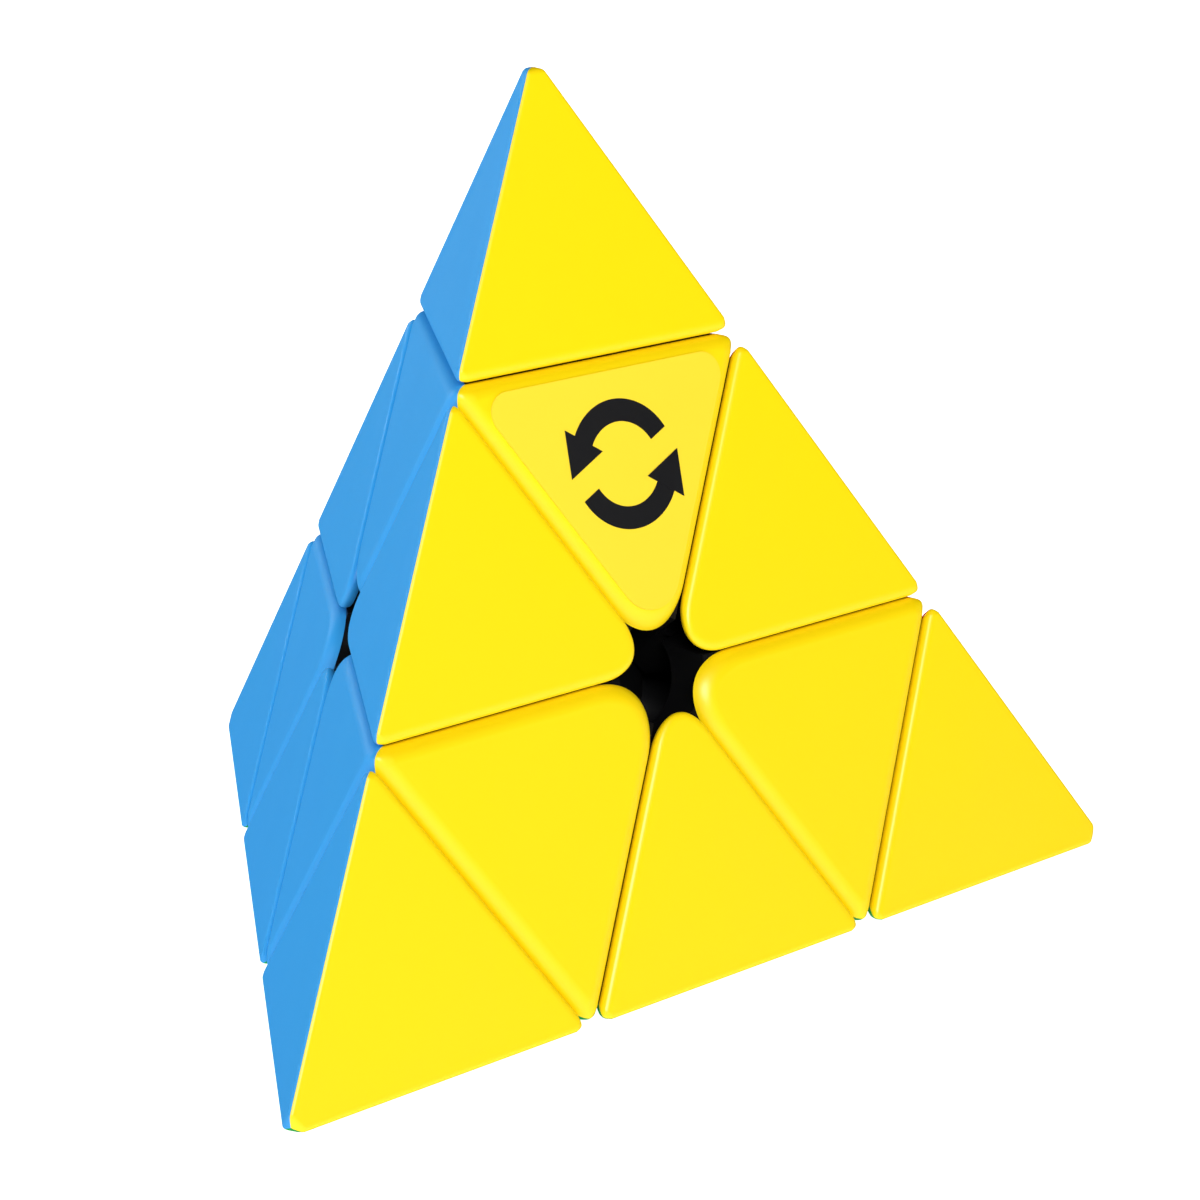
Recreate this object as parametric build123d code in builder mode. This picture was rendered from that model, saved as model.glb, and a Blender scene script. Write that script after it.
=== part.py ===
# Pyramid twisty puzzle: four corner tips, four axial centres and six edges on a four-armed core.
#
# Frame: origin at the centre of the core, +Z through the top corner of the pyramid, -Y towards
# the front corner. The four corners are named top, front, right and left, and each colour covers
# the face opposite one corner. Millimetres throughout.

from build123d import *
import os
from math import asin, atan, degrees, sqrt, tan, radians

os.makedirs("parts", exist_ok=True)

# ---------------------------------------------------------------- driving dimensions
EDGE = 100.0            # pyramid edge, corner to corner, before any rounding
GAP = 0.2               # clearance between two pieces that turn past each other
CAP = 1.2               # thickness of a coloured cap
OUTER_ROUND = 0.5       # rounding along the six outer edges of the pyramid
RIM_ROUND = 0.7         # rounding of a tip's or an edge's cap where it meets a gap
CENTRE_RIM_ROUND = 1.2  # the same on a centre's cap, whose rims are blunter
CENTRE_LOW_ROUND = 4.4  # corner radius of a centre's cap towards the middle of a face
EDGE_LOW_ROUND = 4.0    # the same on an edge piece
CORNER_ROUND = 1.3      # corner radius of a centre's cap at the pyramid's outer edge
WELL_R = 5.0            # round well in the middle of each face, through the black bodies

PEG_R = 0.9             # locating pegs on the back of a cap
PEG_LENGTH = 1.8
PEG_CLEARANCE = 0.05    # radial, between a peg and its socket
TIP_PEG_DROP = 3.0      # a tip cap's peg, below the middle of the cap
CENTRE_PEG_SPREAD = 6.0     # a centre cap's two pegs, each side of its middle
CENTRE_PEG_RISE = 2.0
EDGE_PEG_SPREAD = 5.0       # an edge cap's two pegs, each side of its middle

BODY_WALL = 4.2         # black body between a cap's back and the spherical seat of the feet
FOOT_THICKNESS = 4.4    # edge foot that hooks under the centres
SLIDE_CLEARANCE = 0.4   # between core, feet and seats
ARM_R = 3.4             # core arm
ARM_CLEARANCE = 0.8     # between a foot and an arm
ARM_BORE_FIT = 0.06     # radial running fit of a centre on its arm
ARM_STANDOFF = 0.5      # arm end below the floor of the centre's cavity
FLOOR_THICKNESS = 3.6   # floor of a centre's cavity, above the spherical seat
CAVITY_WALL = 2.4       # centre's wall behind the caps
LID_WALL = 1.3          # centre's wall around the lid
LID_LEDGE = 0.5         # ledge the lid is pressed down on
LID_THICKNESS = 2.0
LID_RING = 1.8          # width of the lid's ring around the tip's post
LID_FIT = 0.03          # radial, lid in its recess

POST_FIT = 0.06         # radial running fit of a tip's post in the lid
POST_WALL = 1.2
POST_DEPTH = 2.8        # how far the post's bore runs up into the tip
HOOK_REACH = 0.5        # hook beyond the lid's hole
HOOK_THICKNESS = 0.9
HOOK_CLEARANCE = 0.3

SCREW_CLEARANCE = 2.1   # between the screw's head and the hook above it
SHANK_R = 1.25
SHANK_FIT = 0.05
SHANK_GRIP = 7.5        # length of shank held in the arm
HEAD_R = 2.8
HEAD_HEIGHT = 2.0
RECESS_WIDTH = 0.7      # cross recess in the screw's head
RECESS_LENGTH = 3.4
RECESS_DEPTH = 1.0
WASHER_THICKNESS = 0.5
LOWER_WASHER_R = 4.6
UPPER_WASHER_R = 3.4
WASHER_HOLE_R = 1.45
SPRING_R = 2.3          # mean radius of the coil
WIRE_R = 0.3
SPRING_TURNS = 5

LABEL_THICKNESS = 0.12
LABEL_INSET = 1.08      # from the lines where the gaps' middles meet the face
LABEL_LOW_ROUND = 3.5   # corner radius towards the middle of the face
LABEL_TOP_ROUND = 2.0

# ---------------------------------------------------------------- derived geometry
SIDE_SINE = sqrt(8) / 3                     # sine of the angle between two corner directions
FACE_DISTANCE = EDGE / (2 * sqrt(6))        # centre to face
LAYER_CUT = FACE_DISTANCE / 3               # centre to the plane a layer turns on
TIP_CUT = FACE_DISTANCE * 5 / 3             # centre to the plane a tip turns on
LEAN = 90 - degrees(asin(SIDE_SINE))        # walls lean this much from square to a face
HALF_GAP = GAP / 2
FACE_GAP = HALF_GAP / SIDE_SINE             # half gap, measured in the face
PANEL_SIDE = EDGE / 3                       # side of each triangular panel
PANEL_HEIGHT = PANEL_SIDE * sqrt(3) / 2
STOCK = 4 * EDGE                            # block that the pieces are cut from

SEAT_R = FACE_DISTANCE - CAP - BODY_WALL
FOOT_OUTER_R = SEAT_R - SLIDE_CLEARANCE
FOOT_INNER_R = FOOT_OUTER_R - FOOT_THICKNESS
CORE_R = FOOT_INNER_R - SLIDE_CLEARANCE
EDGE_TO_CORNER = degrees(atan(sqrt(2)))     # angle between an edge's direction and its corners'
FOOT_ANGLE = EDGE_TO_CORNER - degrees(asin((ARM_R + ARM_CLEARANCE) / FOOT_INNER_R))

FLOOR_Z = SEAT_R + FLOOR_THICKNESS
ARM_END = FLOOR_Z - ARM_STANDOFF
LID_TOP = TIP_CUT - HALF_GAP
LID_UNDER = LID_TOP - LID_THICKNESS
HOOK_TOP = LID_UNDER - HOOK_CLEARANCE
HOOK_UNDER = HOOK_TOP - HOOK_THICKNESS
HEAD_TOP = HOOK_UNDER - SCREW_CLEARANCE
HEAD_UNDER = HEAD_TOP - HEAD_HEIGHT
SPRING_LOW = FLOOR_Z + WASHER_THICKNESS
SPRING_HIGH = HEAD_UNDER - WASHER_THICKNESS


def inner_radius(height, wall):
    """Radius of a round cavity about a corner axis that leaves this wall behind the caps."""
    return (FACE_DISTANCE - CAP - wall - height / 3) / SIDE_SINE


LID_R = inner_radius(LID_TOP, LID_WALL)
POST_HOLE_R = LID_R - LID_RING
POST_R = POST_HOLE_R - POST_FIT

# ---------------------------------------------------------------- directions and planes
CORNERS = {
    "top": Vector(0, 0, 1),
    "front": Vector(0, -SIDE_SINE, -1 / 3),
    "right": Vector(sqrt(2 / 3), sqrt(2) / 3, -1 / 3),
    "left": Vector(-sqrt(2 / 3), sqrt(2) / 3, -1 / 3),
}
FACE_COLOURS = {"top": "green", "front": "red", "right": "blue", "left": "yellow"}
ORIGIN = Vector(0, 0, 0)

# A corner piece is made with its corner along +Z and its first neighbour over +X. Its first cap
# is the one opposite that neighbour.
UP = Vector(0, 0, 1)
NEIGHBOURS = [Vector(SIDE_SINE, 0, -1 / 3).rotate(Axis.Z, turn) for turn in (0, 120, 240)]
CORNER_FACES = [neighbour * -1 for neighbour in NEIGHBOURS]
CORNER_CAP_PLANES = [
    Plane(origin=face * FACE_DISTANCE, x_dir=UP.cross(face), z_dir=face) for face in CORNER_FACES
]
CORNER_CAP = CORNER_CAP_PLANES[0]

# An edge piece is made with its middle along +X and its outer edge along Z. Its first cap is the
# one on the -Y side.
EDGE_ENDS = [Vector(sqrt(1 / 3), 0, side * sqrt(2 / 3)) for side in (1, -1)]
EDGE_FACES = [Vector(sqrt(1 / 3), side * sqrt(2 / 3), 0) for side in (-1, 1)]
EDGE_CAP_PLANES = [
    Plane(origin=face * FACE_DISTANCE, x_dir=(0, 0, face.Y), z_dir=face) for face in EDGE_FACES
]
EDGE_CAP = EDGE_CAP_PLANES[0]


def keep_below(normal, distance):
    """Cut the part being built back to the inner side of a plane."""
    split(bisect_by=Plane(origin=normal * distance, z_dir=normal), keep=Keep.BOTTOM)


def keep_above(normal, distance):
    """Cut the part being built back to the outer side of a plane."""
    split(bisect_by=Plane(origin=normal * distance, z_dir=normal), keep=Keep.TOP)


def keep_first_cap(faces):
    """Keep the layer of cap thickness behind the first face, mitred against the other faces."""
    keep_above(faces[0], FACE_DISTANCE - CAP)
    for other in faces[1:]:
        keep_above((faces[0] - other).normalized(), 0)


def keep_inside_caps(faces):
    for face in faces:
        keep_below(face, FACE_DISTANCE - CAP)


def add_pegs(cap_plane, points):
    with BuildSketch(cap_plane.offset(-CAP)) as pegs:
        with Locations(*points):
            Circle(PEG_R)
    extrude(pegs.sketch, amount=-PEG_LENGTH)


def cut_sockets(cap_planes, points):
    for cap_plane in cap_planes:
        with BuildSketch(cap_plane.offset(-CAP)) as sockets:
            with Locations(*points):
                Circle(PEG_R + PEG_CLEARANCE)
        extrude(sockets.sketch, amount=-(PEG_LENGTH + PEG_CLEARANCE), mode=Mode.SUBTRACT)


def cut_face_wells(faces):
    for face in faces:
        with BuildSketch(Plane(origin=ORIGIN, z_dir=face)) as well:
            Circle(WELL_R)
        extrude(well.sketch, amount=EDGE, mode=Mode.SUBTRACT)


TIP_PEGS = [(0, 4 * PANEL_HEIGHT / 3 - TIP_PEG_DROP)]
CENTRE_PEGS = [(side * CENTRE_PEG_SPREAD, 2 * PANEL_HEIGHT / 3 + CENTRE_PEG_RISE) for side in (-1, 1)]
EDGE_PEGS = [(side * EDGE_PEG_SPREAD, 2 * PANEL_HEIGHT / 3) for side in (-1, 1)]


# ---------------------------------------------------------------- outer shape of the pyramid
with BuildPart() as pyramid:
    Box(STOCK, STOCK, STOCK)
    for corner in CORNERS.values():
        keep_below(corner * -1, FACE_DISTANCE)
    fillet(pyramid.edges(), OUTER_ROUND)

# The same shape about the corner-piece frame, whose neighbours stand at 0, 120 and 240 degrees.
with BuildPart() as corner_pyramid:
    add(pyramid.part.rotate(Axis.Z, 90))

# The same shape about the edge-piece frame.
EDGE_FRAME = Plane(origin=ORIGIN, x_dir=CORNERS["top"] + CORNERS["front"],
                   z_dir=CORNERS["top"] - CORNERS["front"])
with BuildPart() as edge_pyramid:
    add(EDGE_FRAME.to_local_coords(pyramid.part))


# ---------------------------------------------------------------- corner tip
with BuildPart() as tip_block:
    Box(STOCK, STOCK, STOCK)
    for face in CORNER_FACES:
        keep_below(face, FACE_DISTANCE)
    keep_above(UP, TIP_CUT + HALF_GAP)
    fillet(tip_block.edges().group_by(Axis.Z)[0], RIM_ROUND)
    add(corner_pyramid.part, mode=Mode.INTERSECT)

with BuildPart() as tip_cap:
    add(tip_block.part)
    keep_first_cap(CORNER_FACES)
    add_pegs(CORNER_CAP, TIP_PEGS)

with BuildPart() as tip_body:
    add(tip_block.part)
    keep_inside_caps(CORNER_FACES)
    # Post through the lid of the centre, with the hook that snaps under it.
    with BuildSketch(Plane.XY.offset(TIP_CUT + HALF_GAP)):
        Circle(POST_R)
    extrude(amount=HOOK_UNDER - (TIP_CUT + HALF_GAP))
    with BuildSketch(Plane.XY.offset(HOOK_UNDER)):
        Circle(POST_HOLE_R + HOOK_REACH)
    extrude(amount=HOOK_THICKNESS)
    with BuildSketch(Plane.XY.offset(HOOK_UNDER)):
        Circle(POST_R - POST_WALL)
    extrude(amount=TIP_CUT + HALF_GAP + POST_DEPTH - HOOK_UNDER, mode=Mode.SUBTRACT)
    cut_sockets(CORNER_CAP_PLANES, TIP_PEGS)


# ---------------------------------------------------------------- axial centre
def centre_outline(inset, low_round, top_round):
    """Rounded triangle of a centre's panel, its low corner towards the middle of the face."""
    half = PANEL_SIDE / 2 - inset * sqrt(3)
    low = inset * 2
    top = PANEL_HEIGHT - inset
    with BuildLine() as outline:
        FilletPolyline((0, low), (half, top), (-half, top), radius=[low_round, top_round, top_round],
                       close=True)
    make_face(outline.edges())


with BuildPart() as centre_cap:
    spread = CAP * tan(radians(LEAN))
    with BuildSketch(CORNER_CAP.offset(-CAP)):
        centre_outline(FACE_GAP - spread, CENTRE_LOW_ROUND + spread, CORNER_ROUND + spread)
    extrude(amount=CAP, taper=LEAN)
    panel = centre_cap.faces().sort_by(lambda face: face.center().dot(CORNER_FACES[0]))[-1]
    fillet(panel.edges(), CENTRE_RIM_ROUND)
    keep_first_cap(CORNER_FACES)
    add_pegs(CORNER_CAP, CENTRE_PEGS)

with BuildPart() as centre_body:
    Box(STOCK, STOCK, STOCK)
    keep_inside_caps(CORNER_FACES)
    for neighbour in NEIGHBOURS:
        keep_below(neighbour, LAYER_CUT - HALF_GAP)
    keep_below(UP, LID_TOP)
    keep_above(UP, LAYER_CUT + HALF_GAP)
    Sphere(SEAT_R, mode=Mode.SUBTRACT)
    cut_face_wells(CORNER_FACES)
    with BuildSketch():
        Circle(ARM_R + ARM_BORE_FIT)
    extrude(amount=STOCK / 2, mode=Mode.SUBTRACT)
    # Cavity for washers, spring and screw, and the recess of the lid above it.
    with BuildSketch(Plane.XY.offset(FLOOR_Z)):
        Circle(inner_radius(FLOOR_Z, CAVITY_WALL))
    with BuildSketch(Plane.XY.offset(LID_UNDER)):
        Circle(LID_R - LID_LEDGE)
    loft(mode=Mode.SUBTRACT)
    with BuildSketch(Plane.XY.offset(LID_UNDER)):
        Circle(LID_R)
    extrude(amount=LID_THICKNESS, mode=Mode.SUBTRACT)
    cut_sockets(CORNER_CAP_PLANES, CENTRE_PEGS)

with BuildPart() as centre_lid:
    with BuildSketch(Plane.XY.offset(LID_UNDER)):
        Circle(LID_R - LID_FIT)
        Circle(POST_HOLE_R, mode=Mode.SUBTRACT)
    extrude(amount=LID_THICKNESS)


# ---------------------------------------------------------------- edge piece
with BuildPart() as edge_block:
    Box(STOCK, STOCK, STOCK)
    for face in EDGE_FACES:
        keep_below(face, FACE_DISTANCE)
    for end in EDGE_ENDS:
        keep_above(end, LAYER_CUT + HALF_GAP)
    fillet(edge_block.edges().sort_by(Axis.X)[0], EDGE_LOW_ROUND)

with BuildPart() as edge_cap:
    add(edge_block.part)
    panel = edge_cap.faces().sort_by(lambda face: face.center().dot(EDGE_FACES[0]))[-1]
    fillet(panel.edges().sort_by(Axis.X)[:-1], RIM_ROUND)
    add(edge_pyramid.part, mode=Mode.INTERSECT)
    keep_first_cap(EDGE_FACES)
    add_pegs(EDGE_CAP, EDGE_PEGS)

# The foot hooks under the centres, and the neck joins it to the piece between them.
with BuildPart() as edge_foot:
    with BuildSketch():
        with BuildLine():
            inner = CenterArc((0, 0), FOOT_INNER_R, 0, FOOT_ANGLE)
            outer = CenterArc((0, 0), FOOT_OUTER_R, 0, FOOT_ANGLE)
            Line(inner @ 0, outer @ 0)
            Line(inner @ 1, outer @ 1)
        make_face()
    revolve(axis=Axis.X, revolution_arc=360)

with BuildPart() as edge_neck:
    with BuildSketch():
        with BuildLine():
            rim = CenterArc((0, 0), SEAT_R + SLIDE_CLEARANCE, 0, FOOT_ANGLE)
            Line((0, 0), rim @ 0)
            Line((0, 0), rim @ 1)
        make_face()
    revolve(axis=Axis.X, revolution_arc=360)
    for end in EDGE_ENDS:
        keep_above(end, LAYER_CUT + HALF_GAP)

with BuildPart() as edge_body:
    add(edge_block.part)
    keep_inside_caps(EDGE_FACES)
    Sphere(SEAT_R, mode=Mode.SUBTRACT)
    cut_face_wells(EDGE_FACES)
    add(edge_neck.part)
    add(edge_foot.part)
    cut_sockets(EDGE_CAP_PLANES, EDGE_PEGS)


# ---------------------------------------------------------------- core and its hardware, on +Z
with BuildPart() as arm:
    Cylinder(ARM_R, ARM_END, align=(Align.CENTER, Align.CENTER, Align.MIN))

with BuildPart() as screw:
    with BuildSketch(Plane.XY.offset(ARM_END - SHANK_GRIP)):
        Circle(SHANK_R)
    extrude(amount=HEAD_UNDER - (ARM_END - SHANK_GRIP))
    with BuildSketch(Plane.XY.offset(HEAD_UNDER)):
        Circle(HEAD_R)
    extrude(amount=HEAD_HEIGHT)
    fillet(screw.edges().group_by(Axis.Z)[-1], HEAD_HEIGHT / 4)
    with BuildSketch(Plane.XY.offset(HEAD_TOP)):
        Rectangle(RECESS_LENGTH, RECESS_WIDTH)
        Rectangle(RECESS_WIDTH, RECESS_LENGTH)
    extrude(amount=-RECESS_DEPTH, mode=Mode.SUBTRACT)

with BuildPart() as washers:
    for height, radius in ((FLOOR_Z, LOWER_WASHER_R), (SPRING_HIGH, UPPER_WASHER_R)):
        with BuildSketch(Plane.XY.offset(height)):
            Circle(radius)
            Circle(WASHER_HOLE_R, mode=Mode.SUBTRACT)
        extrude(amount=WASHER_THICKNESS)

with BuildPart() as spring:
    coil_low = SPRING_LOW + WIRE_R
    coil_height = SPRING_HIGH - SPRING_LOW - 2 * WIRE_R
    with BuildLine():
        coil = Helix(pitch=coil_height / SPRING_TURNS, height=coil_height, radius=SPRING_R,
                     center=(0, 0, coil_low))
    with BuildSketch(Plane(origin=coil @ 0, z_dir=coil % 0)):
        Circle(WIRE_R)
    sweep(is_frenet=True)

with BuildPart() as core:
    Sphere(CORE_R)
    for corner in CORNERS.values():
        with Locations(Plane(origin=ORIGIN, z_dir=corner).location):
            add(arm.part)
    for corner in CORNERS.values():
        with BuildSketch(Plane(origin=corner * ARM_END, z_dir=corner)):
            Circle(SHANK_R + SHANK_FIT)
        extrude(amount=-(SHANK_GRIP + SHANK_FIT), mode=Mode.SUBTRACT)


# ---------------------------------------------------------------- placing and writing the pieces
def write(piece, name):
    piece.part.label = name
    export_step(piece.part, f"parts/{name}.step")


def place_and_write(part, plane, name):
    """One copy of a piece, moved from the frame it was made in to its place in the puzzle."""
    with BuildPart() as copy:
        with Locations(plane.location):
            add(part)
    write(copy, name)


def corner_plane(corner, neighbour):
    return Plane(origin=ORIGIN, x_dir=CORNERS[neighbour], z_dir=CORNERS[corner])


def edge_plane(first, second):
    return Plane(origin=ORIGIN, x_dir=CORNERS[first] + CORNERS[second],
                 z_dir=CORNERS[first] - CORNERS[second])


names = list(CORNERS)
for corner in names:
    others = [name for name in names if name != corner]
    home = corner_plane(corner, others[0])
    place_and_write(tip_body.part, home, f"tip_{corner}_body")
    place_and_write(centre_body.part, home, f"centre_{corner}_body")
    place_and_write(centre_lid.part, home, f"centre_{corner}_lid")
    for other in others:
        colour = FACE_COLOURS[other]
        place_and_write(tip_cap.part, corner_plane(corner, other), f"tip_{corner}_{colour}_cap")
        place_and_write(centre_cap.part, corner_plane(corner, other), f"centre_{corner}_{colour}_cap")

for index, first in enumerate(names):
    for second in names[index + 1:]:
        place_and_write(edge_body.part, edge_plane(first, second), f"edge_{first}_{second}_body")
        for other in names:
            if other in (first, second):
                continue
            # The first cap of an edge piece is on its -Y side: turn the piece to bring it there.
            plane = edge_plane(first, second)
            if plane.y_dir.dot(CORNERS[other]) < 0:
                plane = edge_plane(second, first)
            place_and_write(edge_cap.part, plane, f"edge_{first}_{second}_{FACE_COLOURS[other]}_cap")

write(core, "core")

for single, name in ((screw, "tension_screws"), (washers, "spring_washers"), (spring, "tension_springs")):
    with BuildPart() as group:
        with Locations(*[Plane(origin=ORIGIN, z_dir=corner).location for corner in CORNERS.values()]):
            add(single.part)
    write(group, name)

# Label on the yellow cap of the top centre.
TOP_YELLOW = corner_plane("top", "left")
with BuildPart() as label_blank:
    with BuildSketch(CORNER_CAP):
        centre_outline(LABEL_INSET, LABEL_LOW_ROUND, LABEL_TOP_ROUND)
    extrude(amount=LABEL_THICKNESS)
place_and_write(label_blank.part, TOP_YELLOW, "label")
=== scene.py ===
from math import atan2, cos, degrees, pi, radians, sin, sqrt

import bmesh
import bpy
from mathutils import Matrix, Vector


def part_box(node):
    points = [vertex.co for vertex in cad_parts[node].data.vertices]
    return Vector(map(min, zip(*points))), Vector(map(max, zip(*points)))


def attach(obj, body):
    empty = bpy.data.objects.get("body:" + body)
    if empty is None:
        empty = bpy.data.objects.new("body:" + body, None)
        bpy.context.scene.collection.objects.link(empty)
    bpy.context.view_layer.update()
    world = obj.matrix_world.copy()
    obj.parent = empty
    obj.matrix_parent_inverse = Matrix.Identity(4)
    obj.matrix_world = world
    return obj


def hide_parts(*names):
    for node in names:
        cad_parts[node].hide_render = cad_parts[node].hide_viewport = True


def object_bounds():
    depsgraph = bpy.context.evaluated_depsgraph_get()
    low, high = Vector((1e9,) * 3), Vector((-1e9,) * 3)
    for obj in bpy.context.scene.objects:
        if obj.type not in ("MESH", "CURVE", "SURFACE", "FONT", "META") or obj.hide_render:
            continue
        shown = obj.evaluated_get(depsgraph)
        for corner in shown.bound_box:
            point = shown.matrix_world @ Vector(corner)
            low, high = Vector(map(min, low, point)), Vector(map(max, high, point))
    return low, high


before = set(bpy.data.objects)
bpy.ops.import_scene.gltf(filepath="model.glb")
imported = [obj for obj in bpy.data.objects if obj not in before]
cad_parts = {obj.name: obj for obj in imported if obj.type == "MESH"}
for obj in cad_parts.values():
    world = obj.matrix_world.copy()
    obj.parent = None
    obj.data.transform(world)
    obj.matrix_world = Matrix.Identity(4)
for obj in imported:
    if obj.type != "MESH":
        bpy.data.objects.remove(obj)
cad_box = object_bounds()
bpy.ops.object.select_all(action="DESELECT")

# ------------------------------------------------------------------------------------------
# Camera: a long lens a little above the puzzle, turned towards the front corner's right side,
# and rolled by less than half a degree.
CAMERA_AZIMUTH = radians(21.02)
CAMERA_ELEVATION = radians(18.35)
CAMERA_ROLL = radians(-0.454)
CAMERA_DISTANCE = 0.30062
CAMERA_LENS = 93.43
SENSOR_WIDTH = 36
NEAR_CLIP = 0.01
AIM_RIGHT = 0.00577
AIM_UP = 0.00813

back = Vector((sin(CAMERA_AZIMUTH) * cos(CAMERA_ELEVATION),
               -cos(CAMERA_AZIMUTH) * cos(CAMERA_ELEVATION),
               sin(CAMERA_ELEVATION)))
right = (-back).cross(Vector((0, 0, 1))).normalized()
up = right.cross(-back)
camera_place = right * AIM_RIGHT + up * AIM_UP + back * CAMERA_DISTANCE
rolled_right = right * cos(CAMERA_ROLL) + up * sin(CAMERA_ROLL)
rolled_up = up * cos(CAMERA_ROLL) - right * sin(CAMERA_ROLL)
bpy.ops.object.camera_add(location=camera_place)
camera = bpy.context.object
camera.name = "camera"
camera.data.lens = CAMERA_LENS
camera.data.sensor_width = SENSOR_WIDTH
camera.data.clip_start = NEAR_CLIP
camera.rotation_euler = Matrix((rolled_right, rolled_up, back)).transposed().to_euler()
bpy.context.scene.camera = camera

# ------------------------------------------------------------------------------------------
# Studio: a white glowing floor that the puzzle stands on, with one round soft light high at the
# front and two dull ones on the left. The surround is white to look at, and lights nothing.
FLOOR_SIZE = 6.0
FLOOR_DROP = 0.00002                    # below the puzzle, so that the two don't share a plane
WHITE = (1.0, 1.0, 1.0, 1.0)
FLOOR_GREY = (0.94, 0.94, 0.94, 1)
LIGHT_DISTANCE = 0.9
LIGHT_WIDTH = 0.45

floor_height = cad_box[0].z
bpy.ops.mesh.primitive_plane_add(size=FLOOR_SIZE, location=(0, 0, floor_height - FLOOR_DROP))
floor = bpy.context.object
floor.name = "floor"
floor_paint = bpy.data.materials.new("floor_paint")
floor_paint.use_nodes = True
shader = floor_paint.node_tree.nodes["Principled BSDF"]
shader.inputs["Base Color"].default_value = FLOOR_GREY
shader.inputs["Roughness"].default_value = 0.9
shader.inputs["Specular IOR Level"].default_value = 0.1
shader.inputs["Emission Color"].default_value = WHITE
shader.inputs["Emission Strength"].default_value = 1.0
floor.data.materials.append(floor_paint)
floor.visible_glossy = False

surround = bpy.data.worlds.new("surround")
bpy.context.scene.world = surround
surround.use_nodes = True
surround.node_tree.nodes["Background"].inputs["Color"].default_value = WHITE
surround.node_tree.nodes["Background"].inputs["Strength"].default_value = 1.0
surround.cycles_visibility.glossy = False
surround.cycles_visibility.diffuse = False
bpy.context.scene.view_settings.view_transform = "Standard"


def add_soft_light(name, azimuth, elevation, watts, glossy):
    """A round soft light aimed at the puzzle, with or without a reflection in its plastics."""
    place = LIGHT_DISTANCE * Vector((sin(azimuth) * cos(elevation),
                                     -cos(azimuth) * cos(elevation),
                                     sin(elevation)))
    bpy.ops.object.light_add(type="AREA", location=place)
    light = bpy.context.object
    light.name = name
    light.data.shape = "DISK"
    light.data.size = LIGHT_WIDTH
    light.data.energy = watts
    light.rotation_euler = place.to_track_quat("Z", "Y").to_euler()
    light.visible_glossy = glossy


add_soft_light("front_light", radians(30), radians(35), 7.1, True)
add_soft_light("left_light", radians(-60), radians(10), 3.0, False)
add_soft_light("back_left_light", radians(-120), radians(10), 8.0, False)

# ------------------------------------------------------------------------------------------
# Corner tips: hollow black mouldings that turn on their own, each under three coloured caps
# which meet along the pyramid's outer edges. Caps are injection moulded with a fine satin
# texture, soft rounded edges and a tight joint between two colours.
face_distance = -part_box("tip_front_green_cap")[0].z
half_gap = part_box("tip_top_yellow_cap")[0].z - face_distance * 5 / 3
layer_cut = face_distance / 3
tip_cut = face_distance * 5 / 3
CAP_THICKNESS = 0.0012
RIM_SOFTNESS = 0.0013
OUTER_EDGE_SOFTNESS = 0.0007
CORNER_CUT = 0.0018
CORNER_SOFTNESS = 0.0006
ROUNDING_STEPS = 10
ROUNDING_PROFILE = 0.55
TOLERANCE = 1e-6
CUT_THRESHOLD = 1e-7
SMOOTH_BELOW = radians(30)             # two faces that meet at less than this shade as one

side_sine = sqrt(8) / 3
corners = {
    "top": Vector((0, 0, 1)),
    "front": Vector((0, -side_sine, -1 / 3)),
    "right": Vector((sqrt(2 / 3), sqrt(2) / 3, -1 / 3)),
    "left": Vector((-sqrt(2 / 3), sqrt(2) / 3, -1 / 3)),
}
face_colours = {"top": "green", "front": "red", "right": "blue", "left": "yellow"}

# A corner piece is modelled with its corner up and its first neighbour over +X.
corner_neighbours = [
    Matrix.Rotation(turn * 2 * pi / 3, 3, "Z") @ Vector((side_sine, 0, -1 / 3)) for turn in range(3)
]
corner_faces = [-neighbour for neighbour in corner_neighbours]


def edit(piece):
    """Take this piece alone into edit mode, with nothing selected."""
    bpy.ops.object.select_all(action="DESELECT")
    piece.select_set(True)
    bpy.context.view_layer.objects.active = piece
    bpy.ops.object.mode_set(mode="EDIT")
    bpy.ops.mesh.select_all(action="DESELECT")


def cut_away(piece, normal, distance):
    """Cut a piece by a plane and close it, dropping the side that the normal points to."""
    edit(piece)
    bpy.ops.mesh.select_all(action="SELECT")
    bpy.ops.mesh.bisect(plane_co=normal * distance, plane_no=normal, clear_outer=True,
                        use_fill=True, threshold=CUT_THRESHOLD)
    bpy.ops.object.mode_set(mode="OBJECT")


def lies_in(edge, mesh, normal, distance):
    return all(abs(mesh.vertices[v].co.dot(normal) - distance) < TOLERANCE for v in edge.vertices)


def round_edges(piece, widest, softness_of):
    """Round each edge by the width that softness_of gives for it, or leave it sharp."""
    mesh = piece.data
    weights = mesh.attributes.new("bevel_weight_edge", "FLOAT", "EDGE")
    for edge in mesh.edges:
        weights.data[edge.index].value = softness_of(edge, mesh) / widest
    bevel = piece.modifiers.new("rounding", "BEVEL")
    bevel.limit_method = "WEIGHT"
    bevel.width = widest
    bevel.segments = ROUNDING_STEPS
    bevel.profile = ROUNDING_PROFILE
    bevel.use_clamp_overlap = False
    bpy.context.view_layer.objects.active = piece
    bpy.ops.object.modifier_apply(modifier=bevel.name)


def copy_of(piece, name):
    copy = piece.copy()
    copy.data = piece.data.copy()
    copy.name = name
    copy.data.name = name
    bpy.context.collection.objects.link(copy)
    return copy


def split_cap(block, faces, name):
    """The layer of cap thickness behind the first face, mitred against the other faces."""
    cap = copy_of(block, name)
    cut_away(cap, -faces[0], -(face_distance - CAP_THICKNESS))
    for other in faces[1:]:
        cut_away(cap, (other - faces[0]).normalized(), 0)
    return cap


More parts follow.
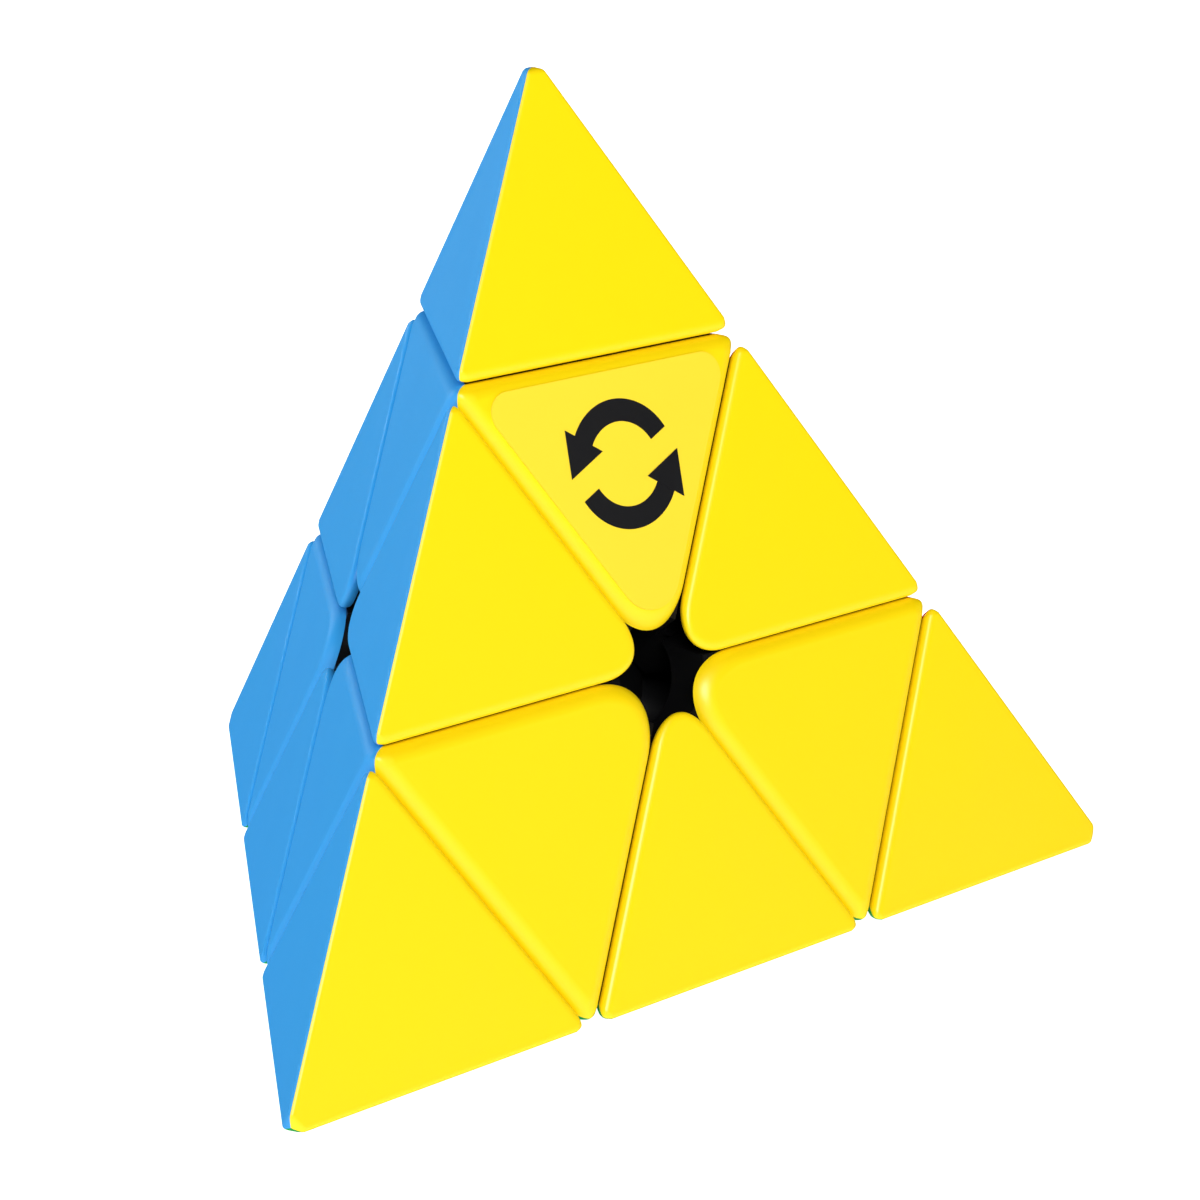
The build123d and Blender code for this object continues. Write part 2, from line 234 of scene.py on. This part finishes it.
def smooth(piece, angle):
    """Smooth shading that keeps flat faces flat and breaks at sharp edges."""
    bpy.ops.object.select_all(action="DESELECT")
    piece.select_set(True)
    bpy.context.view_layer.objects.active = piece
    bpy.ops.object.shade_smooth_by_angle(angle=angle)
    weighted = piece.modifiers.new("flat_faces", "WEIGHTED_NORMAL")
    weighted.keep_sharp = True
    bpy.ops.object.modifier_apply(modifier=weighted.name)


def turn_to(upward, towards):
    """Turn that brings +Z to one direction and +X as near as it goes to another."""
    side = (towards - upward * upward.dot(towards)).normalized()
    return Matrix((side, upward.cross(side), upward)).transposed().to_4x4()


def body_of_corner_piece(kind, corner):
    if kind == "tip":
        return f"tip_{corner}"
    return "top_layer" if corner == "top" else "root"


CLOUD_SCALE = 45
GRAIN_SCALE = 5200
GRAIN_STRENGTH = 0.25
GRAIN_DEPTH = 0.00001
GLOSS_RANGE = (0.30, 0.40)              # roughness, from one cloud to another


def satin_plastic(name, colour, deep_colour):
    """Moulded plastic: an even colour with faint flow clouds, and a fine satin texture."""
    material = bpy.data.materials.new(name)
    material.use_nodes = True
    nodes = material.node_tree.nodes
    links = material.node_tree.links
    shader = nodes["Principled BSDF"]
    place = nodes.new("ShaderNodeTexCoord")
    clouds = nodes.new("ShaderNodeTexNoise")
    clouds.inputs["Scale"].default_value = CLOUD_SCALE
    clouds.inputs["Detail"].default_value = 3
    links.new(place.outputs["Object"], clouds.inputs["Vector"])
    mix = nodes.new("ShaderNodeMix")
    mix.data_type = "RGBA"
    mix.inputs["A"].default_value = (*colour, 1)
    mix.inputs["B"].default_value = (*deep_colour, 1)
    spread = nodes.new("ShaderNodeMapRange")
    spread.inputs["From Min"].default_value = 0.35
    spread.inputs["From Max"].default_value = 0.65
    links.new(clouds.outputs["Fac"], spread.inputs["Value"])
    links.new(spread.outputs["Result"], mix.inputs["Factor"])
    links.new(mix.outputs["Result"], shader.inputs["Base Color"])
    grain = nodes.new("ShaderNodeTexNoise")
    grain.inputs["Scale"].default_value = GRAIN_SCALE
    grain.inputs["Detail"].default_value = 2
    links.new(place.outputs["Object"], grain.inputs["Vector"])
    texture = nodes.new("ShaderNodeBump")
    texture.inputs["Strength"].default_value = GRAIN_STRENGTH
    texture.inputs["Distance"].default_value = GRAIN_DEPTH
    links.new(grain.outputs["Fac"], texture.inputs["Height"])
    links.new(texture.outputs["Normal"], shader.inputs["Normal"])
    polish = nodes.new("ShaderNodeMapRange")
    polish.inputs["To Min"].default_value, polish.inputs["To Max"].default_value = GLOSS_RANGE
    links.new(clouds.outputs["Fac"], polish.inputs["Value"])
    links.new(polish.outputs["Result"], shader.inputs["Roughness"])
    shader.inputs["Specular IOR Level"].default_value = 0.5
    return material


def paint_node(name, material):
    """Give a carried-over node its material."""
    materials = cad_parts[name].data.materials
    materials.clear()
    materials.append(material)


plastics = {
    "yellow": satin_plastic("yellow_plastic", (0.93, 0.68, 0.002), (0.92, 0.67, 0.002)),
    "blue": satin_plastic("blue_plastic", (0.032, 0.30, 0.68), (0.031, 0.29, 0.67)),
    "red": satin_plastic("red_plastic", (0.62, 0.015, 0.012), (0.60, 0.014, 0.011)),
    "green": satin_plastic("green_plastic", (0.005, 0.30, 0.06), (0.005, 0.29, 0.055)),
}

tip_height = 3 * face_distance - (tip_cut + half_gap)
bpy.ops.mesh.primitive_cone_add(vertices=3, radius1=tip_height / sqrt(2), radius2=0,
                                depth=tip_height,
                                location=(0, 0, tip_cut + half_gap + tip_height / 2),
                                rotation=(0, 0, -pi / 2))
tip_block = bpy.context.object
tip_block.name = "tip_block"
bpy.ops.object.transform_apply()
corner_top = 3 * face_distance - CORNER_CUT
cut_away(tip_block, Vector((0, 0, 1)), corner_top)


def tip_softness(edge, mesh):
    sides = sum(lies_in(edge, mesh, face, face_distance) for face in corner_faces)
    if lies_in(edge, mesh, Vector((0, 0, 1)), corner_top):
        return CORNER_SOFTNESS
    return OUTER_EDGE_SOFTNESS if sides == 2 else RIM_SOFTNESS


round_edges(tip_block, RIM_SOFTNESS, tip_softness)
tip_cap = split_cap(tip_block, corner_faces, "tip_cap")
smooth(tip_cap, SMOOTH_BELOW)


def place_corner_caps(kind, cap):
    for corner, upward in corners.items():
        for other, towards in corners.items():
            if other == corner:
                continue
            colour = face_colours[other]
            node = f"{kind}_{corner}_{colour}_cap"
            piece = copy_of(cap, node + "_skin")
            piece.data.transform(turn_to(upward, towards))
            piece.data.materials.append(plastics[colour])
            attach(piece, body_of_corner_piece(kind, corner))
            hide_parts(node)


place_corner_caps("tip", tip_cap)
for spare in (tip_block, tip_cap):
    bpy.data.objects.remove(spare)

# ------------------------------------------------------------------------------------------
# Axial centres: eight-sided black mouldings on the core's arms, with a three-cornered coloured
# cap on each side of the pyramid. The cap's low corner is well rounded, and its walls lean out
# as they go in, to run beside the edges.
LOW_CORNER_ROUND = 0.0044
OUTER_CORNER_SOFTNESS = 0.0020
PLATE_DEPTH = 0.004
ROUND_STEPS = 24                        # facets round a cap's corner at the middle of a side
wall_lean = 1 / sqrt(8)                 # a wall runs out this much for each unit of depth
face_gap = half_gap / side_sine
panel_height = face_distance * sqrt(2)  # of the equilateral triangle that each panel fills

outer_radius = panel_height * 2 / 3 - 2 * face_gap
inner_radius = outer_radius + 2 * wall_lean * PLATE_DEPTH
bpy.ops.mesh.primitive_cone_add(vertices=3, radius1=inner_radius, radius2=outer_radius,
                                depth=PLATE_DEPTH, location=(0, 0, -PLATE_DEPTH / 2),
                                rotation=(0, 0, pi))
centre_plate = bpy.context.object
centre_plate.name = "centre_plate"
bpy.ops.object.transform_apply()


def select_edges(piece, wanted):
    """Select the edges that wanted picks by their middle and direction."""
    work = bmesh.from_edit_mesh(piece.data)
    work.select_mode = {"EDGE"}
    for edge in work.edges:
        middle = (edge.verts[0].co + edge.verts[1].co) / 2
        along = edge.verts[1].co - edge.verts[0].co
        edge.select_set(bool(wanted(middle, along)))
    work.select_flush_mode()
    bmesh.update_edit_mesh(piece.data)


edit(centre_plate)
select_edges(centre_plate,
             lambda middle, along: abs(along.z) > TOLERANCE and middle.y < -outer_radius / 2)
bpy.ops.mesh.bevel(offset=LOW_CORNER_ROUND * sqrt(3), segments=ROUND_STEPS, affect="EDGES",
                   profile=0.5)
bpy.ops.object.mode_set(mode="OBJECT")


def centre_softness(edge, mesh):
    ends = [mesh.vertices[v].co for v in edge.vertices]
    if all(abs(end.z) < TOLERANCE for end in ends):
        return RIM_SOFTNESS
    stands = abs(ends[0].z - ends[1].z) > TOLERANCE
    return OUTER_CORNER_SOFTNESS if stands and min(end.y for end in ends) > 0 else 0


round_edges(centre_plate, RIM_SOFTNESS, centre_softness)
# Bring the plate to its panel: out along the first face's normal, up towards the corner.
panel_up = Vector((1 / 3, 0, side_sine))
panel_turn = Matrix((panel_up.cross(corner_faces[0]), panel_up,
                     corner_faces[0])).transposed().to_4x4()
panel_place = corner_faces[0] * face_distance + panel_up * panel_height * 2 / 3
centre_plate.data.transform(Matrix.Translation(panel_place) @ panel_turn)
centre_cap = split_cap(centre_plate, corner_faces, "centre_cap")
smooth(centre_cap, SMOOTH_BELOW)
place_corner_caps("centre", centre_cap)
for spare in (centre_plate, centre_cap):
    bpy.data.objects.remove(spare)

# ------------------------------------------------------------------------------------------
# Edges: four-sided black mouldings hooked under the centres, with two coloured caps that meet on
# the pyramid's outer edge. Their corner at the middle of a side is rounded like the centres'.
EDGE_CORNER_ROUND = 0.0040
edge_ends = [Vector((sqrt(1 / 3), 0, side * sqrt(2 / 3))) for side in (1, -1)]
edge_faces = [Vector((sqrt(1 / 3), side * sqrt(2 / 3), 0)) for side in (-1, 1)]

bpy.ops.mesh.primitive_cube_add(size=6 * face_distance)
edge_block = bpy.context.object
edge_block.name = "edge_block"
for face in edge_faces:
    cut_away(edge_block, face, face_distance)
for end in edge_ends:
    cut_away(edge_block, -end, -(layer_cut + half_gap))
inner_edge_x = (layer_cut + half_gap) * sqrt(3)
edit(edge_block)
select_edges(edge_block, lambda middle, along: abs(middle.x - inner_edge_x) < TOLERANCE)
bpy.ops.mesh.bevel(offset=EDGE_CORNER_ROUND * sqrt(2), segments=ROUND_STEPS, affect="EDGES",
                   profile=0.5)
bpy.ops.object.mode_set(mode="OBJECT")


def edge_softness(edge, mesh):
    sides = sum(lies_in(edge, mesh, face, face_distance) for face in edge_faces)
    return (0, RIM_SOFTNESS, OUTER_EDGE_SOFTNESS)[sides]


round_edges(edge_block, RIM_SOFTNESS, edge_softness)
edge_cap = split_cap(edge_block, edge_faces, "edge_cap")
smooth(edge_cap, SMOOTH_BELOW)

corner_names = list(corners)
for index, first in enumerate(corner_names):
    for second in corner_names[index + 1:]:
        outward = (corners[first] + corners[second]).normalized()
        for other in corner_names:
            if other in (first, second):
                continue
            # The cap was modelled on the -Y side, away from the corner that its face is opposite.
            along = (corners[first] - corners[second]).normalized()
            if along.cross(outward).dot(corners[other]) < 0:
                along.negate()
            colour = face_colours[other]
            node = f"edge_{first}_{second}_{colour}_cap"
            piece = copy_of(edge_cap, node + "_skin")
            piece.data.transform(turn_to(along, outward))
            piece.data.materials.append(plastics[colour])
            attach(piece, "top_layer" if first == "top" else "root")
            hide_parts(node)
for spare in (edge_block, edge_cap):
    bpy.data.objects.remove(spare)

# ------------------------------------------------------------------------------------------
# Label: a thin printed film stuck on the yellow cap of the top centre, printed in black ink with
# a plain turning sign, two curved arrows that chase each other.
LABEL_THICKNESS = 0.00012
INK_THICKNESS = 0.00002
SIGN_HEIGHT = 0.0192                    # middle of the sign, above the middle of the face
SIGN_OUTER_RADIUS = 0.0060
SIGN_INNER_RADIUS = 0.0039
ARROWHEAD_RADIUS = 0.0026
ARROW_STARTS = (25, 205)                # degrees round the sign, and each arrow's sweep
ARROW_SWEEP = 120
SIGN_SEGMENTS = 144

# The film is the caps' yellow made paler, with more blue: a painted sheen in place of a glossier
# film, since its roughness is the same as the caps'.
film = satin_plastic("label_film_painted_sheen", (0.93, 0.68, 0.035), (0.92, 0.67, 0.032))
paint_node("label", film)
ink = satin_plastic("black_ink", (0.012, 0.012, 0.013), (0.009, 0.009, 0.010))

bpy.ops.object.select_all(action="DESELECT")
bpy.ops.mesh.primitive_circle_add(vertices=SIGN_SEGMENTS, radius=SIGN_OUTER_RADIUS)
sign = bpy.context.object
sign.name = "turning_sign"
edit(sign)
bpy.ops.mesh.select_all(action="SELECT")
bpy.ops.mesh.extrude_region_move()
shrink = SIGN_INNER_RADIUS / SIGN_OUTER_RADIUS
bpy.ops.transform.resize(value=(shrink, shrink, shrink))
work = bmesh.from_edit_mesh(sign.data)
for face in work.faces:
    middle = face.calc_center_median()
    turn = degrees(atan2(middle.y, middle.x)) % 360
    face.select_set(not any(0 < (turn - start) % 360 < ARROW_SWEEP for start in ARROW_STARTS))
bmesh.update_edit_mesh(sign.data)
bpy.ops.mesh.delete(type="FACE")
bpy.ops.object.mode_set(mode="OBJECT")
arrowheads = []
for start in ARROW_STARTS:
    end = radians(start + ARROW_SWEEP)
    middle_radius = (SIGN_INNER_RADIUS + SIGN_OUTER_RADIUS) / 2
    place = (Vector((cos(end), sin(end), 0)) * middle_radius
             + Vector((-sin(end), cos(end), 0)) * ARROWHEAD_RADIUS / 2)
    bpy.ops.mesh.primitive_circle_add(vertices=3, radius=ARROWHEAD_RADIUS, fill_type="NGON",
                                      location=place, rotation=(0, 0, end))
    bpy.ops.object.transform_apply()
    arrowheads.append(bpy.context.object)
bpy.ops.object.select_all(action="DESELECT")
for arrowhead in arrowheads:
    arrowhead.select_set(True)
sign.select_set(True)
bpy.context.view_layer.objects.active = sign
bpy.ops.object.join()
edit(sign)
bpy.ops.mesh.select_all(action="SELECT")
bpy.ops.mesh.normals_make_consistent(inside=False)
bpy.ops.object.mode_set(mode="OBJECT")
if sign.data.polygons[0].normal.z < 0:
    sign.data.flip_normals()
thicken = sign.modifiers.new("ink", "SOLIDIFY")
thicken.thickness = INK_THICKNESS
thicken.offset = -1
bpy.ops.object.modifier_apply(modifier=thicken.name)
yellow_face = -corners["left"]
face_up = (corners["top"] - yellow_face * corners["top"].dot(yellow_face)).normalized()
sign_turn = Matrix((face_up.cross(yellow_face), face_up, yellow_face)).transposed().to_4x4()
sign_place = (yellow_face * (face_distance + LABEL_THICKNESS + INK_THICKNESS)
              + face_up * SIGN_HEIGHT)
sign.data.transform(Matrix.Translation(sign_place) @ sign_turn)
sign.data.materials.append(ink)
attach(sign, "top_layer")

# ------------------------------------------------------------------------------------------
# Black mouldings: the bodies under the caps, the lids snapped into the centres and the core they
# turn on, all injection moulded in plain black plastic. They show only in the gaps and the holes.
BLACK_SHINE = 0.15
black = satin_plastic("black_plastic", (0.006, 0.006, 0.0065), (0.005, 0.005, 0.0055))
black.node_tree.nodes["Principled BSDF"].inputs["Specular IOR Level"].default_value = BLACK_SHINE
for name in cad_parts:
    if name.endswith("_body") or name.endswith("_lid") or name == "core":
        paint_node(name, black)

# ------------------------------------------------------------------------------------------
# Screws, springs and washers: zinc plated steel. Each screw holds a centre on its arm of the core,
# through a spring between two washers, and all are closed in under the lids.
steel = bpy.data.materials.new("zinc_steel")
steel.use_nodes = True
shader = steel.node_tree.nodes["Principled BSDF"]
shader.inputs["Base Color"].default_value = (0.55, 0.55, 0.56, 1)
shader.inputs["Metallic"].default_value = 1
shader.inputs["Roughness"].default_value = 0.32
for name in ("tension_screws", "tension_springs", "spring_washers"):
    paint_node(name, steel)
